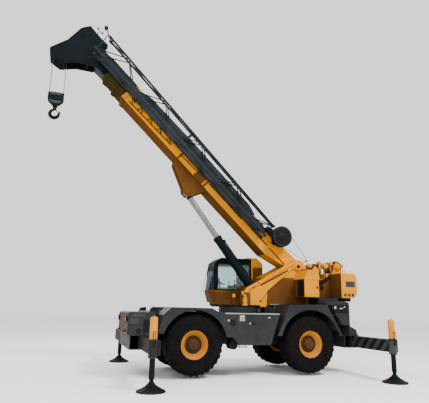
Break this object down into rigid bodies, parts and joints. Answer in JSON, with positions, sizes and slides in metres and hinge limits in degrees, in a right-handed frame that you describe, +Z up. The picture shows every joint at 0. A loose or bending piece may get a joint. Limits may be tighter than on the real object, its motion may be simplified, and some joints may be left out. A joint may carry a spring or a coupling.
{
  "type": "rough terrain mobile crane",
  "caption": "Rough terrain mobile crane on two axles with a telescopic boom, stowed lattice jib, slewing upper works and cab, set up on outriggers.",
  "frame": {"origin": "middle of the whole machine's outline seen from above, at the level of the floats' undersides", "axes": "+Z up, +X the way the boom and carrier point, +Y the machine's side away from the cab"},
  "size_m": [11.6753, 7.57, 12.3129],
  "materials": {
    "boom_paint": "yellow-orange paint, weathered gloss",
    "carrier_paint": "dark grey paint, satin",
    "dark_paint": "blue-black paint, satin",
    "rim_paint": "orange-yellow paint, dusty",
    "tyre": "black tread rubber, matt",
    "steel": "bare steel, worn",
    "chrome": "hard chrome, polished",
    "glass": "tinted safety glass",
    "cab_trim": "black moulded plastic and vinyl"
  },
  "bodies": {
    "carrier": {"chassis_frame": "carrier_paint", "engine_block": "dark_paint", "axle_front": "carrier_paint", "axle_rear": "carrier_paint", "body_side_left": "carrier_paint", "body_side_right": "carrier_paint", "front_panel": "carrier_paint", "engine_hood": "carrier_paint"},
    "turntable": {"turntable_frame": "boom_paint", "hoist_drum_main": "steel", "hoist_drum_auxiliary": "steel", "counterweight": "boom_paint", "valve_cabinet": "boom_paint", "cab_shell": "boom_paint", "cab_windscreen": "glass", "cab_side_glass": "glass", "cab_rear_glass": "glass", "cab_interior": "cab_trim"},
    "cab_door": {"cab_door": "boom_paint", "cab_door_glass": "glass"},
    "boom_base": {"boom_base": "boom_paint", "swingaway_jib": "dark_paint", "cable_reel": "dark_paint"},
    "boom_mid": {"boom_mid": "boom_paint"},
    "boom_inner": {"boom_inner": "boom_paint"},
    "boom_tip": {"boom_tip": "dark_paint", "head_sheaves_upper": "steel", "head_sheaves_lower": "steel"},
    "hook": {"hook_rope": "steel", "hook_block": "dark_paint", "hook": "dark_paint"},
    "lift_barrel": {"lift_barrel": "dark_paint"},
    "lift_rod": {"lift_rod": "chrome"},
    "knuckle_front_left": {"knuckle_front_left": "carrier_paint"},
    "wheel_front_left": {"rim_front_left": "rim_paint", "tyre_front_left": "tyre"},
    "outrigger_front_left": {"outrigger_beam_front_left": "carrier_paint"},
    "jack_front_left": {"jack_float_front_left": "steel"},
    "knuckle_front_right": {"knuckle_front_right": "carrier_paint"},
    "wheel_front_right": {"rim_front_right": "rim_paint", "tyre_front_right": "tyre"},
    "outrigger_front_right": {"outrigger_beam_front_right": "carrier_paint"},
    "jack_front_right": {"jack_float_front_right": "steel"},
    "knuckle_rear_left": {"knuckle_rear_left": "carrier_paint"},
    "wheel_rear_left": {"rim_rear_left": "rim_paint", "tyre_rear_left": "tyre"},
    "outrigger_rear_left": {"outrigger_beam_rear_left": "carrier_paint"},
    "jack_rear_left": {"jack_float_rear_left": "steel"},
    "knuckle_rear_right": {"knuckle_rear_right": "carrier_paint"},
    "wheel_rear_right": {"rim_rear_right": "rim_paint", "tyre_rear_right": "tyre"},
    "outrigger_rear_right": {"outrigger_beam_rear_right": "carrier_paint"},
    "jack_rear_right": {"jack_float_rear_right": "steel"}
  },
  "joints": [
    {"name": "slew", "type": "hinge", "parent": "carrier", "child": "turntable", "pos_m": [-1.5539, 0, 2.2], "axis": [0, 0, 1], "continuous": true},
    {"name": "boom_lift", "type": "hinge", "parent": "turntable", "child": "boom_base", "pos_m": [-3.7539, 0, 3.73], "axis": [0, -1, 0], "range_deg": [-44, 32]},
    {"name": "telescope", "type": "slide", "parent": "boom_base", "child": "boom_mid", "axis": [0.7193, 0, 0.6947], "range_m": [0, 6.5]},
    {"name": "telescope_inner", "type": "slide", "parent": "boom_mid", "child": "boom_inner", "axis": [0.7193, 0, 0.6947], "range_m": [0, 6.5]},
    {"name": "telescope_tip", "type": "slide", "parent": "boom_inner", "child": "boom_tip", "axis": [0.7193, 0, 0.6947], "range_m": [0, 6.5]},
    {"name": "hook_swing", "type": "hinge", "parent": "boom_tip", "child": "hook", "pos_m": [5.45108, 0, 10.85364], "axis": [0, -1, 0], "range_deg": [-33, 45]},
    {"name": "lift_cylinder_tilt", "type": "hinge", "parent": "turntable", "child": "lift_barrel", "pos_m": [-2.4539, 0, 2.38], "axis": [0, -1, 0], "range_deg": [-44, 32]},
    {"name": "lift_cylinder_stroke", "type": "slide", "parent": "lift_barrel", "child": "lift_rod", "axis": [0.6054, 0, 0.796], "range_m": [-1.4, 1.02]},
    {"name": "steer_front_left", "type": "hinge", "parent": "carrier", "child": "knuckle_front_left", "pos_m": [0.4961, 0.88, 1.012], "axis": [0, 0, 1], "range_deg": [-20, 20]},
    {"name": "wheel_spin_front_left", "type": "hinge", "parent": "knuckle_front_left", "child": "wheel_front_left", "pos_m": [0.4961, 1.255, 1.012], "axis": [0, 1, 0], "continuous": true},
    {"name": "steer_front_right", "type": "hinge", "parent": "carrier", "child": "knuckle_front_right", "pos_m": [0.4961, -0.88, 1.012], "axis": [0, 0, 1], "range_deg": [-20, 20]},
    {"name": "wheel_spin_front_right", "type": "hinge", "parent": "knuckle_front_right", "child": "wheel_front_right", "pos_m": [0.4961, -1.255, 1.012], "axis": [0, 1, 0], "continuous": true},
    {"name": "steer_rear_left", "type": "hinge", "parent": "carrier", "child": "knuckle_rear_left", "pos_m": [-3.6039, 0.88, 1.012], "axis": [0, 0, 1], "range_deg": [-20, 20]},
    {"name": "wheel_spin_rear_left", "type": "hinge", "parent": "knuckle_rear_left", "child": "wheel_rear_left", "pos_m": [-3.6039, 1.255, 1.012], "axis": [0, 1, 0], "continuous": true},
    {"name": "steer_rear_right", "type": "hinge", "parent": "carrier", "child": "knuckle_rear_right", "pos_m": [-3.6039, -0.88, 1.012], "axis": [0, 0, 1], "range_deg": [-20, 20]},
    {"name": "wheel_spin_rear_right", "type": "hinge", "parent": "knuckle_rear_right", "child": "wheel_rear_right", "pos_m": [-3.6039, -1.255, 1.012], "axis": [0, 1, 0], "continuous": true},
    {"name": "beam_front_left", "type": "slide", "parent": "carrier", "child": "outrigger_front_left", "axis": [0, 1, 0], "range_m": [-1.95, 0]},
    {"name": "jack_front_left", "type": "slide", "parent": "outrigger_front_left", "child": "jack_front_left", "axis": [0, 0, 1], "range_m": [-0.15, 0.45]},
    {"name": "beam_front_right", "type": "slide", "parent": "carrier", "child": "outrigger_front_right", "axis": [0, -1, 0], "range_m": [-1.95, 0]},
    {"name": "jack_front_right", "type": "slide", "parent": "outrigger_front_right", "child": "jack_front_right", "axis": [0, 0, 1], "range_m": [-0.15, 0.45]},
    {"name": "beam_rear_left", "type": "slide", "parent": "carrier", "child": "outrigger_rear_left", "axis": [0, 1, 0], "range_m": [-1.95, 0]},
    {"name": "jack_rear_left", "type": "slide", "parent": "outrigger_rear_left", "child": "jack_rear_left", "axis": [0, 0, 1], "range_m": [-0.15, 0.45]},
    {"name": "beam_rear_right", "type": "slide", "parent": "carrier", "child": "outrigger_rear_right", "axis": [0, -1, 0], "range_m": [-1.95, 0]},
    {"name": "jack_rear_right", "type": "slide", "parent": "outrigger_rear_right", "child": "jack_rear_right", "axis": [0, 0, 1], "range_m": [-0.15, 0.45]},
    {"name": "cab_door_slide", "type": "slide", "parent": "turntable", "child": "cab_door", "axis": [-1, 0, 0], "range_m": [0, 0.55]}
  ],
  "couplings": [
    {"joint": "telescope_inner", "follows": "telescope", "ratio": 1},
    {"joint": "telescope_tip", "follows": "telescope", "ratio": 1},
    {"joint": "hook_swing", "follows": "boom_lift", "ratio": -1},
    {"joint": "lift_cylinder_tilt", "follows": "boom_lift", "ratio": 0.98},
    {"joint": "lift_cylinder_stroke", "follows": "boom_lift", "m_per_rad": 1.7762},
    {"joint": "steer_front_right", "follows": "steer_front_left", "ratio": 1},
    {"joint": "steer_rear_right", "follows": "steer_rear_left", "ratio": 1}
  ]
}
